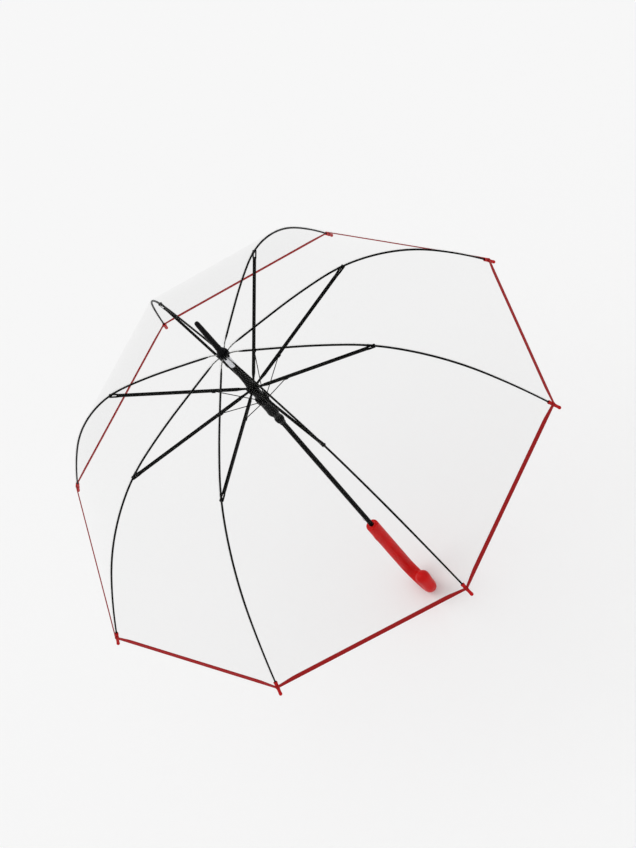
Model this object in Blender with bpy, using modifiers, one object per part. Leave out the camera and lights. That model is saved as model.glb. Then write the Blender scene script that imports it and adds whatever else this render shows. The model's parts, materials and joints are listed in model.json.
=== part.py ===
"""Clear bubble umbrella with eight ribs and a crook handle, open at rest.

Metres, +Z up along the shaft to the ferrule. The origin is on the shaft's axis, in the middle of the
handle's grip, and the crook bends towards -Y. Rib 1 lies over +X and the others follow every 45 degrees,
anticlockwise from above.
"""

import math

import bmesh
import bpy
import numpy as np
from mathutils import Matrix, Vector

MM = 0.001
GAP = 0.3 * MM  # between pieces that touch or run on each other

# canopy and ribs
RIB_COUNT = 8
STEP = 2 * math.pi / RIB_COUNT
CANOPY_RADIUS = 420 * MM  # shaft axis to a corner of the hem
APEX_Z = 595 * MM  # where the lines of the ribs would meet
RIB_SLOPES = ((0.0, 9.0), (0.25, 10.5), (0.45, 17.0), (0.60, 33.5), (0.75, 46.5), (0.85, 56.0), (1.0, 63.0))
RIB_RADIUS = 1.6 * MM
FILM_LIFT = 2.85 * MM  # middle of the film above a rib's centre line
FILM_THICKNESS = 0.3 * MM
FILM_START = 10 * MM
TIP_BEYOND, TIP_INBOARD = 15 * MM, 10.5 * MM  # how far a tip cap reaches each way from the hem's corner
TIP_RADIUS = 2.2 * MM

# linkage: ribs and stretchers are equal links, so the runner stays on the shaft
PIVOT_RADIUS = 7.5 * MM  # of the ribs in the crown and of the stretchers in the runner
CROWN_PIVOT_Z = APEX_Z - 5.5 * MM
BRACKET_RADIUS = 0.5375 * CANOPY_RADIUS
STRETCHER_WIDTH, STRETCHER_WALL = 4.1 * MM, 0.6 * MM
FORK_WIDTH, FORK_WALL = 5.2 * MM, 0.65 * MM
STRETCHER_ABOVE, STRETCHER_BELOW = 1.6 * MM, 2.3 * MM  # of the channel's middle line
FORK_LENGTH = 11 * MM
TONGUE_LENGTH, TONGUE_WIDTH, TONGUE_BELOW = 10 * MM, 2.4 * MM, 1.5 * MM
STRUT_REACH = 56 * MM  # runner pivot to strut pin, along the stretcher
STRUT_DROP = 1.8 * MM  # the strut's pin below the channel's middle line
STRUT_RADIUS = 0.7 * MM
STRUT_PIVOT_RADIUS = 9.6 * MM
STRUT_PIVOT_Z = APEX_Z - 133 * MM

# shaft and what slides on it
SHAFT_RADIUS, SHAFT_WALL = 4.0 * MM, 0.7 * MM
SLEEVE_BORE = 4.3 * MM
ROUND_STEPS = 24

# crook handle
HANDLE_RADIUS = 9.8 * MM
HANDLE_TOP_Z = APEX_Z - 537 * MM
CROOK_Z = APEX_Z - 672 * MM  # where the bend starts
CROOK_RADIUS = 33 * MM
CROOK_RISE = 27 * MM
BUTTON_Z = HANDLE_TOP_Z - 36 * MM
BUTTON_WIDTH, BUTTON_LENGTH = 8 * MM, 16 * MM
LATCH_Z = APEX_Z - 511 * MM


def rib_height(radius):
    """Height of a rib's centre line at this distance from the shaft's axis, from its slopes."""
    share = np.linspace(0, 1, 201)
    slope = np.tan(np.radians(np.interp(share, *zip(*RIB_SLOPES))))
    drop = np.concatenate([[0], np.cumsum((slope[1:] + slope[:-1]) / 2 * np.diff(share))])
    return APEX_Z - CANOPY_RADIUS * float(np.interp(radius / CANOPY_RADIUS, share, drop))


def rib_slope(radius):
    return math.radians(float(np.interp(radius / CANOPY_RADIUS, *zip(*RIB_SLOPES))))


BRACKET = Vector((BRACKET_RADIUS, 0, rib_height(BRACKET_RADIUS)))
RUNNER_PIVOT_Z = 2 * BRACKET.z - CROWN_PIVOT_Z
RUNNER_PIVOT = Vector((PIVOT_RADIUS, 0, RUNNER_PIVOT_Z))
STRETCHER_LENGTH = (BRACKET - RUNNER_PIVOT).length
STRETCHER_TILT = math.atan2(BRACKET.z - RUNNER_PIVOT_Z, BRACKET.x - PIVOT_RADIUS)
STRUT_PIVOT = Vector((STRUT_PIVOT_RADIUS, 0, STRUT_PIVOT_Z))


def rel(millimetres):
    """Height of a point this far above the apex, in millimetres."""
    return APEX_Z + millimetres * MM


# ------------------------------------------------------------------ scene, materials and helpers


def clear_scene():
    for obj in list(bpy.data.objects):
        bpy.data.objects.remove(obj, do_unlink=True)


def material(name, colour, roughness, metallic=0.0, alpha=1.0):
    made = bpy.data.materials.new(name)
    made.use_nodes = True
    shader = made.node_tree.nodes["Principled BSDF"]
    shader.inputs["Base Color"].default_value = (*colour, 1.0)
    shader.inputs["Roughness"].default_value = roughness
    shader.inputs["Metallic"].default_value = metallic
    shader.inputs["Alpha"].default_value = alpha
    return made


def new_collection(name):
    made = bpy.data.collections.new(name)
    bpy.context.scene.collection.children.link(made)
    return made


clear_scene()
UMBRELLA = new_collection("bubble_umbrella")
CUTTERS = new_collection("cutters")
BLACK_STEEL = material("black_steel", (0.012, 0.012, 0.013), 0.35, 0.6)
BLACK_PLASTIC = material("black_plastic", (0.010, 0.010, 0.011), 0.42)
SILVER = material("silver_collar", (0.62, 0.63, 0.66), 0.3, 0.9)
FILM = material("clear_film", (0.90, 0.91, 0.89), 0.08, alpha=0.2)
RED = material("red_plastic", (0.55, 0.006, 0.008), 0.3)
SPRING_STEEL = material("spring_steel", (0.5, 0.5, 0.52), 0.3, 1.0)


def place(obj, finish, collection=UMBRELLA):
    for old in list(obj.users_collection):
        old.objects.unlink(obj)
    collection.objects.link(obj)
    if finish is not None:
        obj.data.materials.clear()
        obj.data.materials.append(finish)
    return obj


def smooth(mesh, degrees=35):
    mesh.shade_smooth()
    mesh.set_sharp_from_angle(angle=math.radians(degrees))


def turned(name, profile, finish, steps=ROUND_STEPS, closed=True):
    """A body turned about Z from (radius, height) points, down its outer side first. closed joins the last
    point to the first, for a ring; a solid's profile starts and ends on the axis."""
    mesh = bpy.data.meshes.new(name)
    ends = [(i, i + 1) for i in range(len(profile) - 1)]
    if closed:
        ends.append((len(profile) - 1, 0))
    mesh.from_pydata([(r, 0, z) for r, z in profile], ends, [])
    obj = bpy.data.objects.new(name, mesh)
    place(obj, finish)
    screw = obj.modifiers.new("turn", "SCREW")
    screw.axis = "Z"
    screw.steps = screw.render_steps = steps
    screw.use_merge_vertices = True
    screw.merge_threshold = 0.00001
    screw.use_smooth_shade = True
    return obj


def rod(name, points, radius, finish, sides=2, factors=None):
    """A round bar along points, with closed ends. sides is the bevel's resolution: 2 gives eight sides."""
    curve = bpy.data.curves.new(name, "CURVE")
    curve.dimensions = "3D"
    curve.bevel_depth = radius
    curve.bevel_resolution = sides
    curve.use_fill_caps = True
    spline = curve.splines.new("POLY")
    spline.points.add(len(points) - 1)
    for i, point in enumerate(points):
        spline.points[i].co = (*point, 1)
        spline.points[i].radius = factors[i] if factors else 1
    return place(bpy.data.objects.new(name, curve), finish)


def as_mesh(obj):
    """The object with its modifiers and curve turned into one plain welded mesh, in place of it."""
    bpy.context.view_layer.update()
    graph = bpy.context.evaluated_depsgraph_get()
    name, matrix, collection = obj.name, obj.matrix_world.copy(), obj.users_collection[0]
    mesh = bpy.data.meshes.new_from_object(obj.evaluated_get(graph))
    bpy.data.objects.remove(obj, do_unlink=True)
    shape = bmesh.new()
    shape.from_mesh(mesh)
    bmesh.ops.remove_doubles(shape, verts=shape.verts, dist=0.000001)
    bmesh.ops.recalc_face_normals(shape, faces=shape.faces)
    shape.to_mesh(mesh)
    shape.free()
    mesh.name = name
    made = bpy.data.objects.new(name, mesh)
    made.matrix_world = matrix
    collection.objects.link(made)
    return made


def box_cutter(name, low, high, turn=0.0):
    """A hidden box between two corners, turned about Z."""
    mesh = bpy.data.meshes.new(name)
    shape = bmesh.new()
    bmesh.ops.create_cube(shape, size=1)
    size, middle = Vector(high) - Vector(low), (Vector(high) + Vector(low)) / 2
    bmesh.ops.scale(shape, vec=size, verts=shape.verts)
    bmesh.ops.translate(shape, vec=middle, verts=shape.verts)
    bmesh.ops.rotate(shape, matrix=Matrix.Rotation(turn, 3, "Z"), verts=shape.verts)
    shape.to_mesh(mesh)
    shape.free()
    return as_cutter(bpy.data.objects.new(name, mesh))


def as_cutter(obj):
    place(obj, None, CUTTERS)
    obj.hide_render = True
    obj.display_type = "WIRE"
    return obj


def cut(obj, *tools):
    for tool in tools:
        boolean = obj.modifiers.new("cut " + tool.name, "BOOLEAN")
        boolean.operation = "DIFFERENCE"
        boolean.object = tool
    return obj


def slots(name, width, inner, outer, bottom, top):
    """Boxes for eight radial slots, one under each rib, from the inner radius outwards."""
    half = width / 2
    return [
        box_cutter(f"{name}_{i + 1}", (inner, -half, bottom), (outer, half, top), STEP * i)
        for i in range(RIB_COUNT)
    ]


def eightfold(stem, first, pivot, suffix=""):
    """Copies of the first piece round the shaft, which share its mesh. Each has its origin on its pivot."""
    first.data.transform(Matrix.Translation(-pivot) @ first.matrix_world)
    smooth(first.data)
    for i in range(RIB_COUNT):
        turn = Matrix.Rotation(STEP * i, 4, "Z")
        copy = first if i == 0 else bpy.data.objects.new("copy", first.data)
        copy.name = f"{stem}_{i + 1}{suffix}"
        copy.matrix_world = turn @ Matrix.Translation(pivot)
        if i:
            UMBRELLA.objects.link(copy)


# ------------------------------------------------------------------ canopy frame


def rib_point(radius, lift=0.0):
    """A point this far above a rib's centre line, square to it, in the plane of rib 1."""
    slope = rib_slope(radius)
    return Vector((radius + lift * math.sin(slope), 0, rib_height(radius) + lift * math.cos(slope)))


def make_ribs():
    """The inner length hinges in the crown, and the outer one bends on from it at the stretcher's fork."""
    half_joint = 0.55 * MM
    eye = Vector((PIVOT_RADIUS - 0.9 * MM, 0, CROWN_PIVOT_Z))
    radii = [20 * MM, 55 * MM, 100 * MM, 145 * MM, 190 * MM, BRACKET_RADIUS - half_joint]
    points = [eye, Vector((12 * MM, 0, CROWN_PIVOT_Z + 1.6 * MM))] + [rib_point(r) for r in radii]
    inner = as_mesh(rod("rib_1", points, RIB_RADIUS, BLACK_STEEL))
    eightfold("rib", inner, Vector((PIVOT_RADIUS, 0, CROWN_PIVOT_Z)))

    radii = [BRACKET_RADIUS + half_joint, 250 * MM, 280 * MM, 310 * MM, 340 * MM, 370 * MM, 398 * MM]
    points = [rib_point(r) for r in radii] + [tip_axis(3 * MM)]
    outer = as_mesh(rod("rib_1_outer", points, RIB_RADIUS, BLACK_STEEL))
    eightfold("rib", outer, BRACKET, "_outer")


def tip_axis(beyond):
    """A point on the tip cap's axis, this far outwards of the hem's corner."""
    slope = rib_slope(CANOPY_RADIUS)
    return rib_point(CANOPY_RADIUS) + beyond * Vector((math.cos(slope), 0, -math.sin(slope)))


def make_tip_caps():
    """Each cap is a blind tube over the end of its rib."""
    bore = RIB_RADIUS + GAP
    profile = [
        (0, TIP_BEYOND),
        (0.9 * MM, TIP_BEYOND - 0.15 * MM),
        (1.6 * MM, TIP_BEYOND - 0.8 * MM),
        (TIP_RADIUS, TIP_BEYOND - 3 * MM),
        (TIP_RADIUS + 0.2 * MM, -TIP_INBOARD + 2 * MM),
        (TIP_RADIUS, -TIP_INBOARD),
        (bore, -TIP_INBOARD),
        (bore, 6 * MM),
        (0, 6 * MM),
    ]
    cap = turned("tip_cap_1", profile, RED, steps=12, closed=False)
    slope = rib_slope(CANOPY_RADIUS)
    cap.matrix_world = Matrix.Translation(tip_axis(0)) @ Matrix.Rotation(math.pi / 2 + slope, 4, "Y")
    eightfold("tip_cap", as_mesh(cap), BRACKET)


def film_point(radius, side):
    """On the taut film, side 0 at a rib and 0.5 or -0.5 halfway to the next: straight from rib to rib."""
    here = rib_point(radius, FILM_LIFT)
    there = Matrix.Rotation(math.copysign(STEP, side), 4, "Z") @ here
    return here.lerp(there, abs(side))


def make_gores():
    """The film in eight gores, each from halfway between two ribs to the next halfway line."""
    radii = [FILM_START, 17 * MM, 60 * MM, 120 * MM, 180 * MM, 226 * MM, 260 * MM, 300 * MM, 335 * MM]
    radii += [365 * MM, 393 * MM, CANOPY_RADIUS]
    shape = bmesh.new()
    rows = []
    for radius in radii:
        edge = 0.5 - 0.5 * GAP / (radius * STEP)
        rows.append([shape.verts.new(film_point(radius, side)) for side in (-edge, -0.25, 0, 0.25, edge)])
    for upper, lower in zip(rows, rows[1:]):
        for i in range(len(upper) - 1):
            shape.faces.new((upper[i], lower[i], lower[i + 1], upper[i + 1]))
    mesh = bpy.data.meshes.new("canopy_gore_1")
    shape.to_mesh(mesh)
    shape.free()
    gore = place(bpy.data.objects.new("canopy_gore_1", mesh), FILM)
    solid = gore.modifiers.new("film", "SOLIDIFY")
    solid.thickness = FILM_THICKNESS
    solid.offset = 0
    eightfold("canopy_gore", as_mesh(gore), BRACKET)


# ------------------------------------------------------------------ stretchers and struts


def make_stretchers():
    """Channels open below, with a fork round the rib and a flat tongue in the runner."""
    length, half, fork_half = STRETCHER_LENGTH, STRETCHER_WIDTH / 2, FORK_WIDTH / 2
    round_end, tongue = 1.8 * MM, TONGUE_WIDTH / 2
    flare, fork_start = TONGUE_LENGTH + 6 * MM, length - FORK_LENGTH
    upper = [(-1.0 * MM, tongue), (TONGUE_LENGTH, tongue), (flare, half)]
    upper += [(fork_start - 4 * MM, half), (fork_start, fork_half)]
    upper += [(length + round_end - 1 * MM, fork_half), (length + round_end, fork_half - 0.6 * MM)]
    outline = upper + [(x, -y) for x, y in reversed(upper)]
    curve = bpy.data.curves.new("stretcher_1", "CURVE")
    curve.dimensions = "2D"
    curve.fill_mode = "BOTH"
    curve.extrude = (STRETCHER_ABOVE + STRETCHER_BELOW) / 2
    spline = curve.splines.new("POLY")
    spline.points.add(len(outline) - 1)
    for point, (x, y) in zip(spline.points, outline):
        point.co = (x, y, (STRETCHER_ABOVE - STRETCHER_BELOW) / 2, 1)
    spline.use_cyclic_u = True
    bar = as_mesh(place(bpy.data.objects.new("stretcher_1", curve), BLACK_STEEL))
    inside = half - STRETCHER_WALL
    channel = box_cutter(
        "channel",
        (flare + 1 * MM, -inside, -2 * STRETCHER_BELOW),
        (length + 5 * MM, inside, STRETCHER_ABOVE - STRETCHER_WALL),
    )
    gap = fork_half - FORK_WALL
    fork = box_cutter("fork", (fork_start, -gap, -5 * MM), (length + 6 * MM, gap, 5 * MM))
    below = (flare + 1.5 * MM, half, -TONGUE_BELOW)
    under_tongue = box_cutter("under_tongue", (-5 * MM, -half, -5 * MM), below)
    cut(bar, channel, fork, under_tongue)
    bar.matrix_world = Matrix.Identity(4)
    bar = as_mesh(bar)
    bar.matrix_world = Matrix.Translation(RUNNER_PIVOT) @ Matrix.Rotation(-STRETCHER_TILT, 4, "Y")
    eightfold("stretcher", bar, BRACKET)


def strut_pin():
    """Where a strut meets its stretcher, inside the channel."""
    along = Vector((math.cos(STRETCHER_TILT), 0, math.sin(STRETCHER_TILT)))
    below = Vector((math.sin(STRETCHER_TILT), 0, -math.cos(STRETCHER_TILT)))
    return RUNNER_PIVOT + STRUT_REACH * along + STRUT_DROP * below


def make_struts():
    """Thin wires from the lower runner up into the stretchers' channels."""
    wire = as_mesh(rod("strut_1", [STRUT_PIVOT, strut_pin()], STRUT_RADIUS, BLACK_STEEL))
    eightfold("strut", wire, STRUT_PIVOT)


# ------------------------------------------------------------------ top of the shaft


def make_crown():
    bore, rim = SLEEVE_BORE, 9.3 * MM
    profile = [(8.3 * MM, rel(0.4)), (rim, rel(-0.6)), (rim, rel(-9)), (8.3 * MM, rel(-10)), (bore, rel(-10))]
    crown = turned("crown", profile + [(bore, rel(0.4))], BLACK_PLASTIC)
    cut(crown, *slots("crown_slot", 3.8 * MM, 5.2 * MM, 12 * MM, rel(-12), rel(-2.6)))


def make_film_washer():
    profile = [(8.0 * MM, rel(1.7)), (8.0 * MM, rel(1.0)), (SLEEVE_BORE, rel(1.0)), (SLEEVE_BORE, rel(1.7))]
    turned("film_washer", profile, BLACK_PLASTIC)


def make_ferrule():
    """A black spike with a flange on the film and a spigot in the crown."""
    spigot = SLEEVE_BORE - GAP
    profile = [
        (0, rel(83)),
        (2.0 * MM, rel(83)),
        (3.1 * MM, rel(82.3)),
        (3.7 * MM, rel(80.5)),
        (4.0 * MM, rel(76)),
        (4.4 * MM, rel(45)),
        (4.7 * MM, rel(12)),
        (5.4 * MM, rel(8)),
        (7.0 * MM, rel(4.6)),
        (7.2 * MM, rel(3.6)),
        (7.0 * MM, rel(2.1)),
        (spigot, rel(2.1)),
        (spigot, rel(-0.9)),
        (0, rel(-0.9)),
    ]
    turned("ferrule", profile, BLACK_PLASTIC, closed=False)


def make_shaft():
    inner = SHAFT_RADIUS - SHAFT_WALL
    top, bottom = rel(-1.4), HANDLE_TOP_Z - 84 * MM
    profile = [(SHAFT_RADIUS, top), (SHAFT_RADIUS, bottom), (inner, bottom), (inner, top)]
    shaft = turned("shaft_tube", profile, BLACK_STEEL)
    slot_low, slot_high = (-6 * MM, -1.5 * MM, LATCH_Z - 6.5 * MM), (-2 * MM, 1.5 * MM, LATCH_Z + 6.5 * MM)
    cut(shaft, box_cutter("latch_slot", slot_low, slot_high))


def make_stop_collar():
    """The bright collar below the crown that the runner's sleeve stops against."""
    profile = [(5.0 * MM, rel(-10.6)), (5.2 * MM, rel(-11.4)), (5.2 * MM, rel(-34.6)), (4.9 * MM, rel(-35.4))]
    turned("stop_collar", profile + [(SLEEVE_BORE, rel(-35.4)), (SLEEVE_BORE, rel(-10.6))], SILVER)


# ------------------------------------------------------------------ runners and spring


def make_runner():
    """Tapered sleeve, slotted hub for the stretchers, and a tube that slides inside the lower runner."""
    tube, tube_bore, hub = 7.3 * MM, 6.6 * MM, 10.2 * MM
    pivot = (RUNNER_PIVOT_Z - APEX_Z) / MM
    profile = [
        (4.9 * MM, rel(-36)),
        (5.0 * MM, rel(-37)),
        (5.8 * MM, rel(-80)),
        (7.2 * MM, rel(pivot + 6.5)),
        (hub - 0.7 * MM, rel(pivot + 5.0)),
        (hub, rel(pivot + 4.0)),
        (hub, rel(pivot - 3.4)),
        (hub - 0.7 * MM, rel(pivot - 4.1)),
        (tube, rel(pivot - 4.6)),
        (tube, rel(-127.4)),
        (tube_bore, rel(-127.4)),
        (tube_bore, rel(-105.4)),
        (SLEEVE_BORE, rel(-105.4)),
        (SLEEVE_BORE, rel(-36)),
    ]
    runner = turned("runner", profile, BLACK_PLASTIC)
    cut(runner, *slots("runner_slot", 3.2 * MM, 5.2 * MM, 14 * MM, rel(pivot - 2.7), rel(pivot + 12)))
    cut(runner, *slots("strut_groove", 2.2 * MM, 8.5 * MM, 14 * MM, rel(pivot - 8), rel(pivot + 2)))


def make_lower_runner():
    """Hub for the struts, barrel, bulge, neck and finger ring. A slit lets it pass the latch."""
    barrel_bore = 7.6 * MM
    profile = [
        (9.5 * MM, rel(-126.6)),
        (10.3 * MM, rel(-127.6)),
        (10.3 * MM, rel(-137.5)),
        (9.4 * MM, rel(-139)),
        (8.7 * MM, rel(-141)),
        (8.6 * MM, rel(-162)),
        (9.1 * MM, rel(-167)),
        (8.8 * MM, rel(-172)),
        (7.4 * MM, rel(-176)),
        (6.0 * MM, rel(-180)),
        (6.0 * MM, rel(-186)),
        (7.2 * MM, rel(-189)),
        (7.5 * MM, rel(-192.5)),
        (7.2 * MM, rel(-196)),
        (5.6 * MM, rel(-199)),
        (5.3 * MM, rel(-204.6)),
        (SLEEVE_BORE, rel(-204.6)),
        (SLEEVE_BORE, rel(-160)),
        (barrel_bore, rel(-160)),
        (barrel_bore, rel(-126.6)),
    ]
    lower = turned("lower_runner", profile, BLACK_PLASTIC)
    cut(lower, *slots("strut_slot", 2.0 * MM, 8.3 * MM, 14 * MM, rel(-135), rel(-120)))
    cut(lower, box_cutter("latch_pass", (-14 * MM, -1.6 * MM, rel(-210)), (-3 * MM, 1.6 * MM, rel(-173))))


def coil(name, radius, wire, bottom, top, turns, points_per_turn, finish):
    """A compression spring about Z between two heights."""
    count = turns * points_per_turn
    low, high = bottom + wire, top - wire
    points = [
        Vector((radius * math.cos(a), radius * math.sin(a), low + (high - low) * i / count))
        for i, a in ((i, 2 * math.pi * i / points_per_turn) for i in range(count + 1))
    ]
    return rod(name, points, wire, finish)


def make_opening_spring():
    coil("opening_spring", 5.4 * MM, 0.45 * MM, rel(-159.6), rel(-105.7), 8, 10, SPRING_STEEL)


# ------------------------------------------------------------------ handle, button and latch


def crook_path():
    """Points and thickness factors down the grip, round the bend and up to the rounded end."""
    top, end_factor = HANDLE_TOP_Z, 1.12
    path = [(0, top, 0.62), (0, top - 0.8 * MM, 0.84), (0, top - 2.4 * MM, 0.97), (0, top - 5 * MM, 1.0)]
    path += [(0, top - 60 * MM, 1.0), (0, CROOK_Z, 1.0)]
    steps = 14
    for i in range(1, steps + 1):
        a = math.pi * i / steps
        path.append((CROOK_RADIUS * (1 - math.cos(a)), CROOK_Z - CROOK_RADIUS * math.sin(a), 1.0))
    reach = 2 * CROOK_RADIUS
    path += [(reach, CROOK_Z + CROOK_RISE * 0.4, 1.06), (reach, CROOK_Z + CROOK_RISE * 0.75, end_factor)]
    ball = HANDLE_RADIUS * end_factor
    for i in range(1, 5):
        a = math.radians(20 * i)
        path.append((reach, CROOK_Z + CROOK_RISE * 0.75 + ball * math.sin(a), end_factor * math.cos(a)))
    return [Vector((0, -y, z)) for y, z, _ in path], [f for _, _, f in path]


def make_handle():
    points, factors = crook_path()
    handle = as_mesh(rod("handle", points, HANDLE_RADIUS, RED, sides=4, factors=factors))
    smooth(handle.data, 50)
    bore_profile = [(0, HANDLE_TOP_Z + 5 * MM), (SLEEVE_BORE, HANDLE_TOP_Z + 5 * MM)]
    bore_profile += [(SLEEVE_BORE, HANDLE_TOP_Z - 84 * MM - GAP), (0, HANDLE_TOP_Z - 84 * MM - GAP)]
    bore = as_cutter(turned("shaft_bore", bore_profile, None, closed=False))
    half_y, half_z = BUTTON_WIDTH / 2 + 0.4 * MM, BUTTON_LENGTH / 2 + 0.4 * MM
    low = (-14 * MM, -half_y, BUTTON_Z - half_z)
    pocket = box_cutter("button_pocket", low, (-6.0 * MM, half_y, BUTTON_Z + half_z))
    cut(handle, bore, pocket)


def make_button():
    """A low pad that is pressed towards the shaft."""
    half, end, bevel = BUTTON_WIDTH / 2, BUTTON_LENGTH / 2, 1.8 * MM
    corner = [(half - bevel, end), (half - 0.5 * bevel, end - 0.15 * bevel), (half, end - bevel)]
    quarter = corner + [(y, -z) for y, z in reversed(corner)]
    outline = quarter + [(-y, -z) for y, z in quarter]
    curve = bpy.data.curves.new("release_button", "CURVE")
    curve.dimensions = "2D"
    curve.fill_mode = "BOTH"
    curve.extrude = 1.5 * MM
    spline = curve.splines.new("POLY")
    spline.points.add(len(outline) - 1)
    for point, (y, z) in zip(spline.points, outline):
        point.co = (y, z, 0, 1)
    spline.use_cyclic_u = True
    button = place(bpy.data.objects.new("release_button", curve), RED)
    facing = Matrix(((0, 0, -1, 0), (-1, 0, 0, 0), (0, 1, 0, 0), (0, 0, 0, 1)))
    button.matrix_world = Matrix.Translation((-9.6 * MM, 0, BUTTON_Z)) @ facing
    button = as_mesh(button)
    edge = button.modifiers.new("edge", "BEVEL")
    edge.width = 0.4 * MM
    edge.segments = 1
    edge.limit_method = "ANGLE"
    edge.angle_limit = math.radians(50)


def make_button_spring():
    """A short coil between the pocket's floor and the button."""
    spring = coil("button_spring", 1.8 * MM, 0.25 * MM, 0, 1.7 * MM, 2, 10, SPRING_STEEL)
    spring.matrix_world = Matrix.Translation((-6.2 * MM, 0, BUTTON_Z)) @ Matrix.Rotation(-math.pi / 2, 4, "Y")


def make_latch():
    """A wedge in the shaft's slot that catches the lower runner when the umbrella is shut."""
    curve = bpy.data.curves.new("latch", "CURVE")
    curve.dimensions = "2D"
    curve.fill_mode = "BOTH"
    curve.extrude = 1.1 * MM
    outline = [(-0.8, 5.6), (-3.9, 5.6), (-5.6, -2.6), (-5.6, -4.4), (-4.2, -5.6), (-0.8, -5.6)]
    spline = curve.splines.new("POLY")
    spline.points.add(len(outline) - 1)
    for point, (x, z) in zip(spline.points, outline):
        point.co = (x * MM, z * MM, 0, 1)
    spline.use_cyclic_u = True
    latch = place(bpy.data.objects.new("latch", curve), BLACK_STEEL)
    latch.matrix_world = Matrix.Translation((0, 0, LATCH_Z)) @ Matrix.Rotation(math.pi / 2, 4, "X")
    as_mesh(latch)


make_ribs()
make_tip_caps()
make_gores()
make_stretchers()
make_struts()
make_crown()
make_film_washer()
make_ferrule()
make_shaft()
make_stop_collar()
make_runner()
make_lower_runner()
make_opening_spring()
make_handle()
make_button()
make_button_spring()
make_latch()
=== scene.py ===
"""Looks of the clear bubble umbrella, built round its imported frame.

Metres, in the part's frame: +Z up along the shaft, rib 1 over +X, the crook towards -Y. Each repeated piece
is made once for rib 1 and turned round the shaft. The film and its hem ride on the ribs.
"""

import json
import math

import bmesh
import bpy
import numpy as np
from mathutils import Matrix, Vector


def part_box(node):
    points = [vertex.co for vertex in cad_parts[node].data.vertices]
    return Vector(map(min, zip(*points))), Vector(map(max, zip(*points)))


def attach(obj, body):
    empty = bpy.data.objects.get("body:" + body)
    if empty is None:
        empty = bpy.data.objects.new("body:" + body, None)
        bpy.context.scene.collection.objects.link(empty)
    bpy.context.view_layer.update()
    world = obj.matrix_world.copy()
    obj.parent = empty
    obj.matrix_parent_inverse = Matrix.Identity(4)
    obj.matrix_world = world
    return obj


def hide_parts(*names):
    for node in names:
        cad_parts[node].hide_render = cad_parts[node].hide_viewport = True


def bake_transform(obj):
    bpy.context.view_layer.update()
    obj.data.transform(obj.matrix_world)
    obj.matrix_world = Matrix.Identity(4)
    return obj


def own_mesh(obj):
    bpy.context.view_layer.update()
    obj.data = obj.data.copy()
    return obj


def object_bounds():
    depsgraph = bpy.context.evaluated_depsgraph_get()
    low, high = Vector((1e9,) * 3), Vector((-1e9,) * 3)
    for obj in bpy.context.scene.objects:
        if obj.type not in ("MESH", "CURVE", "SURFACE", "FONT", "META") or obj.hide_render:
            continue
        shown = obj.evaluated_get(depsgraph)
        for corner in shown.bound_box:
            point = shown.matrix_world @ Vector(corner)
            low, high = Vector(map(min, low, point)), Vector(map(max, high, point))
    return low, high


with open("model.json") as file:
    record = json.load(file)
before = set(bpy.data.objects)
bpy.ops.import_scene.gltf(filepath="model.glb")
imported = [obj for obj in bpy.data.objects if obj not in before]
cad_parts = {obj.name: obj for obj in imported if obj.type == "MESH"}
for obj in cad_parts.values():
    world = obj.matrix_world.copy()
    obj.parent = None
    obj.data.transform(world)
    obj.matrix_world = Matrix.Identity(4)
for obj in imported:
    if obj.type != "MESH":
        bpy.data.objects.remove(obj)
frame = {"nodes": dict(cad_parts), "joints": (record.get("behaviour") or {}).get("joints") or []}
CAD_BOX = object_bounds()

MM = 0.001
COUNT = 8  # ribs, sectors of film, stretchers and struts
STEP = 2 * math.pi / COUNT

# ------------------------------------------------------------------ places read from the frame
JOINTS = {joint["name"]: joint for joint in frame["joints"]}


def joint_point(name):
    return Vector(JOINTS[name]["pos_m"])


CROWN_PIVOT = joint_point("rib_1_fold")
BRACKET = joint_point("rib_1_bend")
RUNNER_PIVOT = joint_point("runner_pivot")
STRUT_PIVOT = joint_point("strut_1_pivot")
APEX_Z = CROWN_PIVOT.z + 5.5 * MM  # where the lines of the ribs would meet
BRACKET_SHARE = 0.5375  # of the canopy's radius
CANOPY_RADIUS = BRACKET.x / BRACKET_SHARE
HANDLE_TOP_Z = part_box("handle")[1].z
FLOOR_Z = CAD_BOX[0].z

# ------------------------------------------------------------------ sizes that the looks add
# share of the canopy's radius, and the ribs' slope there in degrees
RIB_SLOPES = ((0.0, 9.0), (0.25, 10.5), (0.45, 17.0), (0.60, 33.5), (0.75, 46.5), (0.85, 56.0), (1.0, 63.0))
RIB_RADIUS = 1.6 * MM
RIB_NECK = 1.0 * MM  # the rib's radius at the crown
RIB_END = 1.3 * MM  # and at the tip
NECK_END = 26 * MM
FILM_LIFT = 2.85 * MM  # the film above the ribs' centre lines
FILM_TOP_EDGE = 16 * MM
FILM_CENTRE = 4.6 * MM
FILM_HELD = 8.2 * MM  # the washer holds the film flat out to here
TAPE_WIDTH = 6.3 * MM
TAPE_HALF = 0.8 * MM
SEAM_HALF = 2.6 * MM
SEAM_LIFT = 0.12 * MM  # above the film
STRUT_REACH = 56 * MM  # runner pivot to strut pin, along the stretcher
STRUT_DROP = 1.8 * MM  # the strut's pin below the stretcher's middle line
SHAFT_BORE = 4.1 * MM
CROOK_RADIUS = 33 * MM
CROOK_RISE = 27 * MM
CROOK_SWELL = 1.12  # the crook's end against the straight part


def rel(millimetres):
    """Height of a point this far above the apex, in millimetres."""
    return APEX_Z + millimetres * MM


def spaced(start, end, count):
    """Evenly spaced values, both ends included."""
    return [float(value) for value in np.linspace(start, end, count)]


def rib_height(radius):
    """Height of a rib's centre line at this distance from the shaft's axis, from its slopes."""
    share = np.linspace(0, 1, 401)
    slope = np.tan(np.radians(np.interp(share, *zip(*RIB_SLOPES))))
    drop = np.concatenate([[0], np.cumsum((slope[1:] + slope[:-1]) / 2 * np.diff(share))])
    return APEX_Z - CANOPY_RADIUS * float(np.interp(radius / CANOPY_RADIUS, share, drop))


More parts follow.
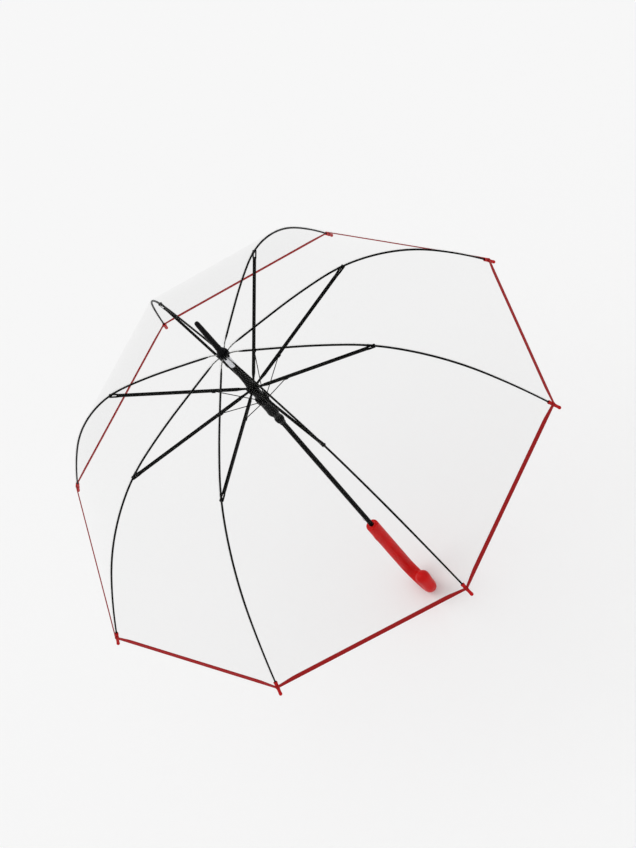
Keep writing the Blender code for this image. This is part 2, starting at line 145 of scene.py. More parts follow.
def rib_slope(radius):
    return math.radians(float(np.interp(radius / CANOPY_RADIUS, *zip(*RIB_SLOPES))))


def along_rib(radius):
    """Unit vector outwards along rib 1."""
    slope = rib_slope(radius)
    return Vector((math.cos(slope), 0, -math.sin(slope)))


def above_rib(radius):
    """Unit vector square to rib 1, outwards of the dome."""
    slope = rib_slope(radius)
    return Vector((math.sin(slope), 0, math.cos(slope)))


def rib_point(radius, lift=0.0):
    return Vector((radius, 0, rib_height(radius))) + lift * above_rib(radius)


def across(point, side):
    """The same point carried along the straight chord to the next rib: side 0.5 or -0.5 is halfway."""
    there = Matrix.Rotation(math.copysign(STEP, side), 4, "Z") @ point
    return point.lerp(there, abs(side))


# ------------------------------------------------------------------ materials


def shader_of(name, colour, roughness, metallic=0.0, alpha=1.0, specular=0.5):
    """A material with one Principled node, and what its textures need."""
    made = bpy.data.materials.new(name)
    made.use_nodes = True
    nodes, links = made.node_tree.nodes, made.node_tree.links
    shader = nodes["Principled BSDF"]
    shader.inputs["Base Color"].default_value = (*colour, 1.0)
    shader.inputs["Roughness"].default_value = roughness
    shader.inputs["Metallic"].default_value = metallic
    shader.inputs["Alpha"].default_value = alpha
    shader.inputs["Specular IOR Level"].default_value = specular
    place = nodes.new("ShaderNodeTexCoord")
    return made, nodes, links, shader, place.outputs["Object"]


def noise(nodes, links, where, scale, detail=3.0, stretch=(1, 1, 1)):
    """Noise over the part's own metres, drawn out along an axis by a small factor there."""
    mapping = nodes.new("ShaderNodeMapping")
    mapping.inputs["Scale"].default_value = stretch
    links.new(where, mapping.inputs["Vector"])
    texture = nodes.new("ShaderNodeTexNoise")
    texture.inputs["Scale"].default_value = scale
    texture.inputs["Detail"].default_value = detail
    links.new(mapping.outputs["Vector"], texture.inputs["Vector"])
    return texture.outputs["Fac"]


def spread(nodes, links, source, low, high, target, start=0.3, end=0.7):
    """Maps a noise onto a socket, from low to high."""
    mapped = nodes.new("ShaderNodeMapRange")
    mapped.inputs["From Min"].default_value = start
    mapped.inputs["From Max"].default_value = end
    mapped.inputs["To Min"].default_value = low
    mapped.inputs["To Max"].default_value = high
    links.new(source, mapped.inputs["Value"])
    links.new(mapped.outputs["Result"], target)


def tones(nodes, links, source, dark, light, target, start=0.35, end=0.65):
    """Mottles a colour between two tones."""
    ramp = nodes.new("ShaderNodeValToRGB")
    ramp.color_ramp.elements[0].position = start
    ramp.color_ramp.elements[0].color = (*dark, 1.0)
    ramp.color_ramp.elements[1].position = end
    ramp.color_ramp.elements[1].color = (*light, 1.0)
    links.new(source, ramp.inputs["Fac"])
    links.new(ramp.outputs["Color"], target)


def relief(nodes, links, source, distance, strength, shader):
    """Fine bumps this deep, from a noise."""
    bump = nodes.new("ShaderNodeBump")
    bump.inputs["Distance"].default_value = distance
    bump.inputs["Strength"].default_value = strength
    links.new(source, bump.inputs["Height"])
    links.new(bump.outputs["Normal"], shader.inputs["Normal"])


def scaled(colour, factor):
    return tuple(min(1.0, channel * factor) for channel in colour)


def lacquered_steel():
    """Black lacquer over drawn steel: fine draw lines, and a rougher patch here and there."""
    colour = (0.0022, 0.0022, 0.0022)
    made, nodes, links, shader, where = shader_of("black_lacquer", colour, 0.38, specular=0.025)
    patches = noise(nodes, links, where, 140)
    spread(nodes, links, patches, 0.32, 0.48, shader.inputs["Roughness"])
    tones(nodes, links, patches, scaled(colour, 0.8), scaled(colour, 1.5), shader.inputs["Base Color"])
    relief(nodes, links, noise(nodes, links, where, 900), 0.05 * MM, 0.25, shader)
    return made


def worn_wire():
    """Wire whose lacquer has worn off: dull grey with darker flecks."""
    made, nodes, links, shader, where = shader_of("worn_wire", (0.30, 0.30, 0.29), 0.45, metallic=0.5)
    flecks = noise(nodes, links, where, 420, 4)
    dark, light = (0.09, 0.09, 0.09), (0.36, 0.36, 0.35)
    tones(nodes, links, flecks, dark, light, shader.inputs["Base Color"], 0.38, 0.55)
    spread(nodes, links, flecks, 0.38, 0.58, shader.inputs["Roughness"])
    relief(nodes, links, noise(nodes, links, where, 900), 0.05 * MM, 0.25, shader)
    return made


def black_plastic():
    """Satin black moulding with a very fine grain."""
    colour = (0.0025, 0.0025, 0.0028)
    made, nodes, links, shader, where = shader_of("black_moulding", colour, 0.36, specular=0.05)
    spread(nodes, links, noise(nodes, links, where, 220), 0.30, 0.44, shader.inputs["Roughness"])
    clouds = noise(nodes, links, where, 90)
    tones(nodes, links, clouds, scaled(colour, 0.8), scaled(colour, 1.4), shader.inputs["Base Color"])
    relief(nodes, links, noise(nodes, links, where, 2500, 2), 0.04 * MM, 0.3, shader)
    return made


def bright_metal(name, colour, roughness, stretch):
    """Turned or drawn bright metal, with fine lines along one way."""
    made, nodes, links, shader, where = shader_of(name, colour, roughness, metallic=1.0)
    lines = noise(nodes, links, where, 4000, 3, stretch)
    spread(nodes, links, lines, roughness - 0.06, roughness + 0.12, shader.inputs["Roughness"])
    tones(nodes, links, lines, scaled(colour, 0.92), scaled(colour, 1.06), shader.inputs["Base Color"])
    relief(nodes, links, lines, 0.01 * MM, 0.2, shader)
    return made


def clear_film(name, alpha):
    """Thin clear film. Soft waves from the roll bend its reflections a little."""
    made, nodes, links, shader, where = shader_of(name, (0.05, 0.052, 0.044), 0.10, alpha=alpha, specular=0.3)
    spread(nodes, links, noise(nodes, links, where, 14, 2), 0.06, 0.16, shader.inputs["Roughness"])
    relief(nodes, links, noise(nodes, links, where, 9, 1), 1.2 * MM, 0.35, shader)
    return made


def red_gloss(name, colour, roughness, grain):
    """Red moulding with slight flow marks."""
    made, nodes, links, shader, where = shader_of(name, colour, roughness, specular=0.12)
    marks = noise(nodes, links, where, 55, 4)
    tones(nodes, links, marks, scaled(colour, 0.88), scaled(colour, 1.08), shader.inputs["Base Color"])
    spread(nodes, links, marks, roughness - 0.05, roughness + 0.10, shader.inputs["Roughness"])
    relief(nodes, links, noise(nodes, links, where, grain, 2), 0.06 * MM, 0.25, shader)
    return made


def hem_tape():
    """Red woven tape: a fine grid of threads."""
    colour = (0.33, 0.0085, 0.0095)
    made, nodes, links, shader, where = shader_of("hem_tape", colour, 0.62, specular=0.12)
    weave = noise(nodes, links, where, 1700, 1)
    tones(nodes, links, weave, scaled(colour, 0.75), scaled(colour, 1.2), shader.inputs["Base Color"])
    spread(nodes, links, weave, 0.55, 0.75, shader.inputs["Roughness"])
    relief(nodes, links, weave, 0.12 * MM, 0.5, shader)
    return made


LACQUER = lacquered_steel()
WORN = worn_wire()
PLASTIC = black_plastic()
SILVER = bright_metal("turned_collar", (0.72, 0.73, 0.76), 0.26, (1, 1, 0.04))
STEEL = bright_metal("bright_wire", (0.55, 0.55, 0.57), 0.28, (0.2, 0.2, 1))
FILM = clear_film("clear_film", 0.05)
SEAM = clear_film("welded_seam", 0.08)
RED = red_gloss("red_moulding", (0.58, 0.003, 0.003), 0.40, 700)
TIP_RED = red_gloss("red_tip", (0.46, 0.005, 0.006), 0.38, 900)
TAPE = hem_tape()

# ------------------------------------------------------------------ mesh helpers


def new_object(name, mesh, finish):
    obj = bpy.data.objects.new(name, mesh)
    bpy.context.scene.collection.objects.link(obj)
    mesh.materials.clear()
    mesh.materials.append(finish)
    return obj


def mesh_of(name, shape, smooth_angle=40):
    """A mesh from a bmesh, shaded smooth below this angle."""
    mesh = bpy.data.meshes.new(name)
    shape.normal_update()
    shape.to_mesh(mesh)
    shape.free()
    mesh.shade_smooth()
    mesh.set_sharp_from_angle(angle=math.radians(smooth_angle))
    return mesh


def grid_mesh(name, rows, wrap=False, smooth_angle=40):
    """A surface through rows of points. wrap closes each row on itself."""
    shape = bmesh.new()
    verts = [[shape.verts.new(point) for point in row] for row in rows]
    count = len(rows[0])
    for upper, lower in zip(verts, verts[1:]):
        for i in range(count if wrap else count - 1):
            j = (i + 1) % count
            shape.faces.new((upper[i], lower[i], lower[j], upper[j]))
    return mesh_of(name, shape, smooth_angle)


def filleted(profile, radius, closed=True, steps=4):
    """The profile with each corner cut back and rounded, at most by this radius."""
    points = [Vector((r, z)) for r, z in profile]
    count = len(points)
    made = []
    for i, point in enumerate(points):
        if not closed and i in (0, count - 1):
            made.append(point)
            continue
        before, after = points[i - 1], points[(i + 1) % count]
        back, on = before - point, after - point
        reach = min(radius, 0.45 * back.length, 0.45 * on.length)
        start, end = point + back.normalized() * reach, point + on.normalized() * reach
        for step in range(steps + 1):
            t = step / steps
            made.append(start.lerp(point, t).lerp(point.lerp(end, t), t))
    return [(p.x, p.y) for p in made]


def lathe(name, profile, steps=72, closed=True, smooth_angle=32):
    """A surface turned about Z from (radius, height) points, down its outer side first. A solid's open
    profile starts and ends on the axis."""
    shape = bmesh.new()
    rings = []
    for radius, height in profile:
        if radius < 1e-7:
            rings.append([shape.verts.new((0, 0, height))])
            continue
        turn = [2 * math.pi * i / steps for i in range(steps)]
        rings.append([shape.verts.new((radius * math.cos(a), radius * math.sin(a), height)) for a in turn])
    pairs = list(zip(rings, rings[1:])) + ([(rings[-1], rings[0])] if closed else [])
    for upper, lower in pairs:
        for i in range(steps):
            j = (i + 1) % steps
            above, below = [upper[k % len(upper)] for k in (i, j)], [lower[k % len(lower)] for k in (i, j)]
            corners = list(dict.fromkeys([above[0], below[0], below[1], above[1]]))
            if len(corners) > 2:
                shape.faces.new(corners)
    bmesh.ops.recalc_face_normals(shape, faces=shape.faces)
    return mesh_of(name, shape, smooth_angle)


def curve_through(points, per_span=6):
    """A smooth line through points, with this many steps from each to the next."""
    points = [Vector(p) for p in points]
    padded = [2 * points[0] - points[1]] + points + [2 * points[-1] - points[-2]]
    line = []
    for a, b, c, d in zip(padded, padded[1:], padded[2:], padded[3:]):
        for i in range(per_span):
            t = i / per_span
            squared, cubed = 2 * a - 5 * b + 4 * c - d, 3 * b - a - 3 * c + d
            line.append(0.5 * ((2 * b) + (c - a) * t + squared * t * t + cubed * t**3))
    return line + [points[-1]]


def tube(name, line, radius, sides=16, factors=None, rounded=True, smooth_angle=50):
    """A round bar along a line, with domed or flat ends. factors scale its radius point by point."""
    line = [Vector(p) for p in line]
    factors = list(factors) if factors is not None else [1.0] * len(line)
    if rounded:
        for end, inner in ((0, 1), (-1, -2)):
            way = (line[end] - line[inner]).normalized()
            size = radius * factors[end]
            dome = [
                (line[end] + way * size * math.sin(a), factors[end] * math.cos(a)) for a in (0.45, 0.9, 1.25)
            ]
            if end == 0:
                line = [p for p, _ in reversed(dome)] + line
                factors = [f for _, f in reversed(dome)] + factors
            else:
                line = line + [p for p, _ in dome]
                factors = factors + [f for _, f in dome]
    shape = bmesh.new()
    side = None
    rings = []
    for i, point in enumerate(line):
        way = (line[min(i + 1, len(line) - 1)] - line[max(i - 1, 0)]).normalized()
        if side is None:
            helper = Vector((0, 1, 0)) if abs(way.y) < 0.9 else Vector((1, 0, 0))
            side = way.cross(helper).normalized()
        side = (side - way * side.dot(way)).normalized()
        other = way.cross(side)
        turn = [2 * math.pi * j / sides for j in range(sides)]
        size = radius * factors[i]
        round_it = [math.cos(a) * side + math.sin(a) * other for a in turn]
        rings.append([shape.verts.new(point + size * out) for out in round_it])
    for upper, lower in zip(rings, rings[1:]):
        for j in range(sides):
            shape.faces.new((upper[j], upper[(j + 1) % sides], lower[(j + 1) % sides], lower[j]))
    shape.faces.new(list(reversed(rings[0])))
    shape.faces.new(rings[-1])
    bmesh.ops.recalc_face_normals(shape, faces=shape.faces)
    return mesh_of(name, shape, smooth_angle)


def ring_mesh(name, centre, axis, radius, wire, steps=36, sides=10):
    """A round wire bent into a closed ring."""
    axis = Vector(axis).normalized()
    first = axis.orthogonal().normalized()
    second = axis.cross(first)
    rows = []
    for i in range(steps + 1):
        a = 2 * math.pi * i / steps
        out = math.cos(a) * first + math.sin(a) * second
        middle = Vector(centre) + radius * out
        ways = [2 * math.pi * j / sides for j in range(sides)]
        rows.append([middle + wire * (math.cos(b) * out + math.sin(b) * axis) for b in ways])
    return grid_mesh(name, rows, wrap=True, smooth_angle=60)


def joined(name, meshes, smooth_angle=40):
    """Several meshes as one."""
    shape = bmesh.new()
    for mesh in meshes:
        shape.from_mesh(mesh)
    return mesh_of(name, shape, smooth_angle)


def moved(mesh, matrix):
    made = mesh.copy()
    made.transform(matrix)
    return made


def box_mesh(name, low, high, turn=0.0):
    shape = bmesh.new()
    bmesh.ops.create_cube(shape, size=1)
    size, middle = Vector(high) - Vector(low), (Vector(high) + Vector(low)) / 2
    bmesh.ops.scale(shape, vec=size, verts=shape.verts)
    bmesh.ops.translate(shape, vec=middle, verts=shape.verts)
    bmesh.ops.rotate(shape, matrix=Matrix.Rotation(turn, 3, "Z"), verts=shape.verts)
    return mesh_of(name, shape)


def with_cuts(mesh, tools, bevel=0.0, smooth_angle=32):
    """The mesh with other meshes cut away, and the new edges softened."""
    obj = bpy.data.objects.new("work", mesh)
    bpy.context.scene.collection.objects.link(obj)
    cutters = []
    for tool in tools:
        cutter = bpy.data.objects.new("cutter", tool)
        bpy.context.scene.collection.objects.link(cutter)
        cutters.append(cutter)
        modifier = obj.modifiers.new("cut", "BOOLEAN")
        modifier.operation = "DIFFERENCE"
        modifier.object = cutter
    if bevel:
        soften = obj.modifiers.new("soften", "BEVEL")
        soften.width = bevel
        soften.segments = 2
        soften.limit_method = "ANGLE"
        soften.angle_limit = math.radians(50)
    graph = bpy.context.evaluated_depsgraph_get()
    made = bpy.data.meshes.new_from_object(obj.evaluated_get(graph))
    for old in [obj, *cutters]:
        bpy.data.objects.remove(old, do_unlink=True)
    made.shade_smooth()
    made.set_sharp_from_angle(angle=math.radians(smooth_angle))
    return made


def slots(width, inner, outer, bottom, top):
    """Eight radial boxes, one under each rib."""
    half = width / 2
    return [box_mesh("slot", (inner, -half, bottom), (outer, half, top), STEP * i) for i in range(COUNT)]


def eight(stem, mesh, finish, body, suffix=""):
    """The piece for rib 1 turned round to each rib, riding on that rib's body."""
    made = []
    for k in range(1, COUNT + 1):
        turned = moved(mesh, Matrix.Rotation(STEP * (k - 1), 4, "Z"))
        obj = new_object(f"{stem}_{k}{suffix}", turned, finish)
        if body:
            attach(obj, body.format(k))
        made.append(obj)
    return made


def one(name, mesh, finish, slot, body, *replaced):
    obj = new_object(name, mesh, finish)
    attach(obj, body)
    if replaced:
        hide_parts(*replaced)
    return obj


# ------------------------------------------------------------------ film and hem


def split_radius(side):
    """Where the film's inner and outer lengths meet: in the plane square to the rib at its bracket."""
    way = along_rib(BRACKET.x)
    middle = rib_point(BRACKET.x, FILM_LIFT)
    low, high = BRACKET.x, CANOPY_RADIUS
    for _ in range(30):
        radius = (low + high) / 2
        if (across(rib_point(radius, FILM_LIFT), side) - middle).dot(way) < 0:
            low = radius
        else:
            high = radius
    return low


SIDES = spaced(-0.5, 0.5, 25)


def film_rows(start, end, count, sides=SIDES):
    """Rows of points on the film between two lines, each a function of the side."""
    rows = []
    for i in range(count + 1):
        share = i / count
        rows.append([across(rib_point(start(s) * (1 - share) + end(s) * share, FILM_LIFT), s) for s in sides])
    return rows


def fold_up(pieces):
    """Gives each piece of film or hem its own copy of its mesh."""
    for k, piece in enumerate(pieces, start=1):
        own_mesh(piece)


def make_film():
    """Eight sectors of film, each centred on its rib and reaching half way to the next. Beyond the bracket a
    sector is two halves, on either side of the rib and its stretcher."""
    inner = grid_mesh("film_inner", film_rows(lambda s: FILM_TOP_EDGE, split_radius, 30))
    inner_pieces = eight("film", inner, FILM, "rib_{}", "_inner")
    fold_up(inner_pieces)
    make_film_top()
    for hand, first, last in (("left", 0.0, 0.5), ("right", -0.5, 0.0)):
        rows = film_rows(split_radius, lambda s: CANOPY_RADIUS, 30, sides=spaced(first, last, 13))
        outer = grid_mesh("film_outer", rows)
        outer_pieces = eight("film", outer, FILM, "rib_{}_outer", f"_outer_{hand}")
        for k, piece in enumerate(outer_pieces, start=1):
            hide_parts(f"canopy_gore_{k}")
        hems = make_hem(hand, first, last)
        fold_up(outer_pieces)
        fold_up(hems)
    make_seams()


def make_film_top():
    """The film's middle, held flat between the crown and the washer, and sloping down beyond it to meet each
    rib.
    """
    def point(radius, side):
        share = min(1.0, max(0.0, (radius - FILM_HELD) / (FILM_TOP_EDGE - FILM_HELD)))
        level = Vector((radius, 0, rel(0.7)))
        return across(level.lerp(rib_point(radius, FILM_LIFT), share), side)
    radii = spaced(FILM_CENTRE, FILM_TOP_EDGE, 9)
    mesh = grid_mesh("film_top", [[point(r, s) for s in SIDES[::3]] for r in radii])
    pieces = eight("film", mesh, FILM, None, "_top")
    for k, piece in enumerate(pieces, start=1):
        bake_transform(piece)
    return pieces


def make_hem(hand, first, last):
    """Red tape folded over the film's edge, drawn in towards each tip."""
    way = along_rib(CANOPY_RADIUS)
    half, gap, over = TAPE_HALF, 0.12 * MM, 0.6 * MM
    rows = []
    for side in spaced(first, last, 31):
        from_tip = abs(side) * CANOPY_RADIUS * STEP
        width = TAPE_WIDTH * (0.55 + 0.45 * min(1.0, from_tip / (30 * MM)))
        outline = [(-width, half), (over - half, half), (over, 0.4 * half), (over, -0.4 * half)]
        outline += [(over - half, -half), (-width, -half), (-width, -gap), (0, -gap), (0, gap), (-width, gap)]
        rows.append([across(rib_point(CANOPY_RADIUS, FILM_LIFT + y) + x * way, side) for x, y in outline])
    mesh = grid_mesh("hem_tape", rows, wrap=True, smooth_angle=30)
    return eight("hem_tape", mesh, TAPE, "rib_{}_outer", f"_{hand}")


def make_seams():
    """A narrow band along each rib, where two panels of the film are welded."""
    def sides_at(radius):
        edge = SEAM_HALF / (radius * STEP)
        return [-edge, 0.0, edge]
    def band(start, end, count):
        radii = [start + (end - start) * i / count for i in range(count + 1)]
        return [[across(rib_point(r, FILM_LIFT + SEAM_LIFT), s) for s in sides_at(r)] for r in radii]
    inner = grid_mesh("seam_inner", band(FILM_TOP_EDGE, BRACKET.x, 30))
    outer = grid_mesh("seam_outer", band(BRACKET.x, CANOPY_RADIUS - TAPE_WIDTH, 30))
    fold_up(eight("seam", inner, SEAM, "rib_{}", "_inner"))
    fold_up(eight("seam", outer, SEAM, "rib_{}_outer", "_outer"))


# ------------------------------------------------------------------ ribs and tips


def make_ribs():
    """One springy rod from the neck to the tip, and its thinner neck, which ends in an eye at the crown."""
    radii = spaced(NECK_END, CANOPY_RADIUS, 160)
    line = [rib_point(r) for r in radii] + [rib_point(CANOPY_RADIUS) + 4 * MM * along_rib(CANOPY_RADIUS)]
    places = (NECK_END, 1.3 * NECK_END, 0.80 * CANOPY_RADIUS, CANOPY_RADIUS)
    widths = (RIB_NECK, RIB_RADIUS, RIB_RADIUS, RIB_END)
    factors = [float(np.interp(p.x, places, widths)) / RIB_RADIUS for p in line]
    rod = tube("rib", line, RIB_RADIUS, 14, factors)
    for k, rib in enumerate(eight("rib_rod", rod, LACQUER, None), start=1):
        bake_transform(rib)
        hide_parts(f"rib_{k}", f"rib_{k}_outer")
    route = [CROWN_PIVOT, Vector((12 * MM, 0, CROWN_PIVOT.z + 1.6 * MM))]
    route += [rib_point(share * NECK_END) for share in (0.8, 1.0, 1.1)]
    neck = tube("neck", curve_through(route, 6), RIB_NECK, 14)
    eye = ring_mesh("eye", CROWN_PIVOT, (0, 1, 0), 1.35 * MM, 0.55 * MM, 20, 8)
    eight("rib_neck", joined("neck", [neck, eye], 50), WORN, "rib_{}")


def lying(mesh, point, way):
    """A mesh made about Z, laid with +Z along way."""
    turn = Vector((0, 0, 1)).rotation_difference(Vector(way)).to_matrix().to_4x4()
    return moved(mesh, Matrix.Translation(point) @ turn)


def make_tips():
    """Red caps over the rib ends, with a collar and the threads that tie the hem on."""
    profile = [(0, 15.0), (1.4, 14.9), (2.3, 14.2), (2.75, 12.9), (2.8, 11.2), (2.5, 10.0), (2.5, 4.0)]
    profile += [(2.8, 2.9), (2.8, -7.0), (3.1, -7.5), (3.1, -9.7), (2.7, -10.5), (1.85, -10.5)]
    profile += [(1.85, -9.0), (0, -9.0)]
    profile = filleted([(r * MM, z * MM) for r, z in profile], 0.5 * MM, closed=False)
    way = along_rib(CANOPY_RADIUS)
    cap = lying(lathe("cap", profile, 32, closed=False), rib_point(CANOPY_RADIUS), way)
    tips = eight("tip", cap, TIP_RED, "rib_{}_outer")
    for k, tip in enumerate(tips, start=1):
        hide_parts(f"tip_cap_{k}")
    middle = rib_point(CANOPY_RADIUS, 0.45 * MM)
    turns = [
        ring_mesh("thread", middle + x * MM * way, way, 3.1 * MM, 0.28 * MM, 28, 6) for x in (-1.1, -0.5, 0.1)
    ]
    eight("tip_thread", joined("tip_thread", turns, 60), TAPE, "rib_{}_outer")


# ------------------------------------------------------------------ stretchers and struts


def stretcher_way():
    return (BRACKET - RUNNER_PIVOT).normalized()


def rivet(name, point, half, head):
    """A pin along the hinge's axis with a domed head at each end."""
    dome = [(0, 0.55), (0.5, 0.48), (0.87, 0.25), (1, 0), (0.6, 0)]
    profile = [(r * head, half + z * head) for r, z in dome]
    profile += [(r * head, -half - z * head) for r, z in reversed(dome)]
    return lying(lathe(name, profile, 20, closed=False), point, (0, 1, 0))


def strut_pin():
    way = stretcher_way()
    below = Vector((way.z, 0, -way.x))
    return RUNNER_PIVOT + STRUT_REACH * way + STRUT_DROP * below


def make_saddle():
    """A strap bent over the stretcher's back, which carries the strut's pin in its two cheeks."""
    way = stretcher_way()
    up = Vector((-way.z, 0, way.x))
    inner, outer, top, foot = 2.2 * MM, 2.6 * MM, 3.5 * MM, -1.5 * MM
    arc = [(math.cos(math.radians(a)), math.sin(math.radians(a))) for a in range(0, 181, 20)]
    outline = [(outer, foot), *[(outer * c, top - outer + 0.9 * outer * s) for c, s in arc], (-outer, foot)]
    outline += [(-inner, foot), *[(-inner * c, top - outer + 0.9 * inner * s) for c, s in arc], (inner, foot)]
    rows = []
    for along in (-3.0, -2.7, 2.7, 3.0):
        shrink = 0.94 if abs(along) == 3.0 else 1.0
        middle = strut_pin() + along * MM * way
        rows.append([middle + shrink * y * Vector((0, 1, 0)) + shrink * z * up for y, z in outline])
    shape = bmesh.new()
    shape.from_mesh(grid_mesh("saddle", rows, wrap=True))
    bmesh.ops.holes_fill(shape, edges=shape.edges, sides=0)
    bmesh.ops.recalc_face_normals(shape, faces=shape.faces)
    return mesh_of("saddle", shape, 35)


def make_linkage():
    """Rivets and sleeves on the stretchers, and wire struts with eyes."""
    sleeve_line = [rib_point(BRACKET.x + x * MM) for x in (-9, -4, 1)]
    sleeve = tube("sleeve", sleeve_line, 1.92 * MM, 20, rounded=False)
    eight("rib_sleeve", sleeve, LACQUER, "rib_{}")
    eight("bracket_rivet", rivet("rivet", BRACKET, 2.62 * MM, 1.5 * MM), LACQUER, "rib_{}")
    pin = rivet("rivet", strut_pin(), 2.07 * MM, 1.0 * MM)
    eight("strut_rivet", pin, LACQUER, "stretcher_{}")
    eight("strut_saddle", make_saddle(), LACQUER, "stretcher_{}")
    wire = tube("wire", [STRUT_PIVOT, strut_pin()], 0.7 * MM, 12)
    ends = (STRUT_PIVOT, strut_pin())
    eyes = [ring_mesh("eye", point, (0, 1, 0), 0.95 * MM, 0.42 * MM, 20, 8) for point in ends]
    struts = eight("strut_wire", joined("strut", [wire, *eyes], 60), LACQUER, "strut_{}")
    for k, strut in enumerate(struts, start=1):
        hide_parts(f"strut_{k}")
    for k in range(1, COUNT + 1):
        soften_cad(f"stretcher_{k}", LACQUER, 0.25 * MM)


def soften_cad(node, finish, width):
    """A CAD node kept as it is, with its own finish and slightly rounded edges."""
    obj = frame["nodes"][node]
    obj.data.materials.clear()
    obj.data.materials.append(finish)
    weld = obj.modifiers.new("weld", "WELD")
    weld.merge_threshold = 0.002 * MM
    soften = obj.modifiers.new("soften", "BEVEL")
    soften.width = width
    soften.segments = 2
    soften.limit_method = "ANGLE"
    soften.angle_limit = math.radians(40)
    obj.data.shade_smooth()
    obj.data.set_sharp_from_angle(angle=math.radians(35))


# ------------------------------------------------------------------ top of the shaft


def in_metres(profile):
    return [(r * MM, rel(z)) for r, z in profile]


def make_crown():
    profile = [(8.4, 0.4), (9.3, -0.6), (9.3, -9.0), (8.4, -10.0), (4.3, -10.0), (4.3, 0.4)]
    body = lathe("crown", filleted(in_metres(profile), 0.5 * MM))
    body = with_cuts(body, slots(3.8 * MM, 5.2 * MM, 12 * MM, rel(-12), rel(-2.6)), 0.15 * MM)
    one("crown_notched", body, PLASTIC, "black_plastic", "stick", "crown")
    wire = ring_mesh("crown_wire", (0, 0, CROWN_PIVOT.z), (0, 0, 1), CROWN_PIVOT.x, 0.45 * MM, 64, 8)
    one("crown_wire", wire, STEEL, "spring_steel", "stick")


def make_washer():
    profile = [(7.7, 1.7), (8.0, 1.5), (8.0, 1.15), (7.8, 1.0), (4.3, 1.0), (4.3, 1.7)]
    one("washer", lathe("washer", in_metres(profile)), PLASTIC, "black_plastic", "stick", "film_washer")


def make_ferrule():
    """Black spike with a flange, a waist ring and a rounded end."""
    profile = [(0, 83.0), (2.0, 83.0), (3.1, 82.3), (3.7, 80.5), (3.95, 76.0), (4.15, 62.0), (4.4, 45.0)]
    profile += [(4.6, 24.0), (4.7, 15.2), (5.0, 14.8), (5.0, 13.2), (4.75, 12.6), (4.9, 10.4), (5.4, 8.0)]
    profile += [(6.2, 5.8), (7.0, 4.6), (7.2, 3.6), (7.0, 2.1), (4.0, 2.1), (4.0, -0.9), (0, -0.9)]
    mesh = lathe("ferrule", filleted(in_metres(profile), 0.6 * MM, closed=False), 72, closed=False)
    one("ferrule_spike", mesh, PLASTIC, "black_plastic", "stick", "ferrule")


def make_collar():
    """Bright tube with a turned groove near each end."""
    profile = [(4.9, -10.6), (5.2, -11.4), (5.2, -14.0), (4.95, -14.3), (4.95, -14.9), (5.2, -15.2)]
    profile += [(5.2, -31.0), (4.95, -31.3), (4.95, -31.9), (5.2, -32.2), (5.2, -34.6), (4.9, -35.4)]
    profile += [(4.3, -35.4), (4.3, -10.6)]
    mesh = lathe("collar", filleted(in_metres(profile), 0.25 * MM))
    one("bright_collar", mesh, SILVER, "silver_collar", "stick", "stop_collar")


def make_shaft():
    low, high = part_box("shaft_tube")
    inner = 3.3 * MM
    profile = filleted([(high.x, high.z), (high.x, low.z), (inner, low.z), (inner, high.z)], 0.2 * MM)
    latch_low, latch_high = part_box("latch")
    middle = (latch_low.z + latch_high.z) / 2
    slot = box_mesh("slot", (-6 * MM, -1.5 * MM, middle - 6.5 * MM), (-2 * MM, 1.5 * MM, middle + 6.5 * MM))
    tube_body = with_cuts(lathe("shaft", profile, 64), [slot])
    one("shaft", tube_body, LACQUER, "black_steel", "stick", "shaft_tube")
    soften_cad("latch", STEEL, 0.3 * MM)


# ------------------------------------------------------------------ runners and springs


def make_runner():
    """Tapered sleeve, slotted hub, and the tube that slides inside the lower runner."""
    pivot = (RUNNER_PIVOT.z - APEX_Z) / MM
    profile = [(4.9, -36.0), (5.05, -37.0), (5.8, -80.0), (7.2, pivot + 6.5), (9.5, pivot + 5.0)]
    profile += [(10.2, pivot + 4.0), (10.2, pivot - 3.4), (9.5, pivot - 4.1), (7.3, pivot - 4.6)]
    profile += [(7.3, -127.4), (6.6, -127.4), (6.6, -105.4), (4.3, -105.4), (4.3, -36.0)]
    body = lathe("runner", filleted(in_metres(profile), 0.6 * MM))
    cuts = slots(3.2 * MM, 5.2 * MM, 14 * MM, rel(pivot - 2.7), rel(pivot + 12))
    cuts += slots(2.2 * MM, 8.5 * MM, 14 * MM, rel(pivot - 8), rel(pivot + 2))
    one("runner_sleeve", with_cuts(body, cuts, 0.12 * MM), PLASTIC, "black_plastic", "runner", "runner")
    wire = ring_mesh("runner_wire", (0, 0, RUNNER_PIVOT.z), (0, 0, 1), RUNNER_PIVOT.x, 0.45 * MM, 64, 8)
    one("runner_wire", wire, STEEL, "spring_steel", "runner")


def make_lower_runner():
    """Collar with the struts' slots, barrel, bulge, neck and finger ring, with a slit for the latch."""
    profile = [(9.5, -126.6), (10.3, -127.6), (10.3, -137.5), (9.4, -139.0), (8.7, -141.0), (8.6, -162.0)]
    profile += [(9.1, -167.0), (8.8, -172.0), (7.4, -176.0), (6.0, -180.0), (6.0, -186.0), (7.2, -189.0)]
    profile += [(7.5, -192.5), (7.2, -196.0), (5.6, -199.0), (5.3, -204.6), (4.3, -204.6), (4.3, -160.0)]
    profile += [(7.6, -160.0), (7.6, -126.6)]
    body = lathe("lower_runner", filleted(in_metres(profile), 1.2 * MM))
    cuts = slots(2.0 * MM, 8.3 * MM, 14 * MM, rel(-135), rel(-120))
    cuts += [box_mesh("slit", (-14 * MM, -1.6 * MM, rel(-210)), (-3 * MM, 1.6 * MM, rel(-173)))]
    body = with_cuts(body, cuts, 0.12 * MM)
    one("lower_runner_body", body, PLASTIC, "black_plastic", "lower_runner", "lower_runner")


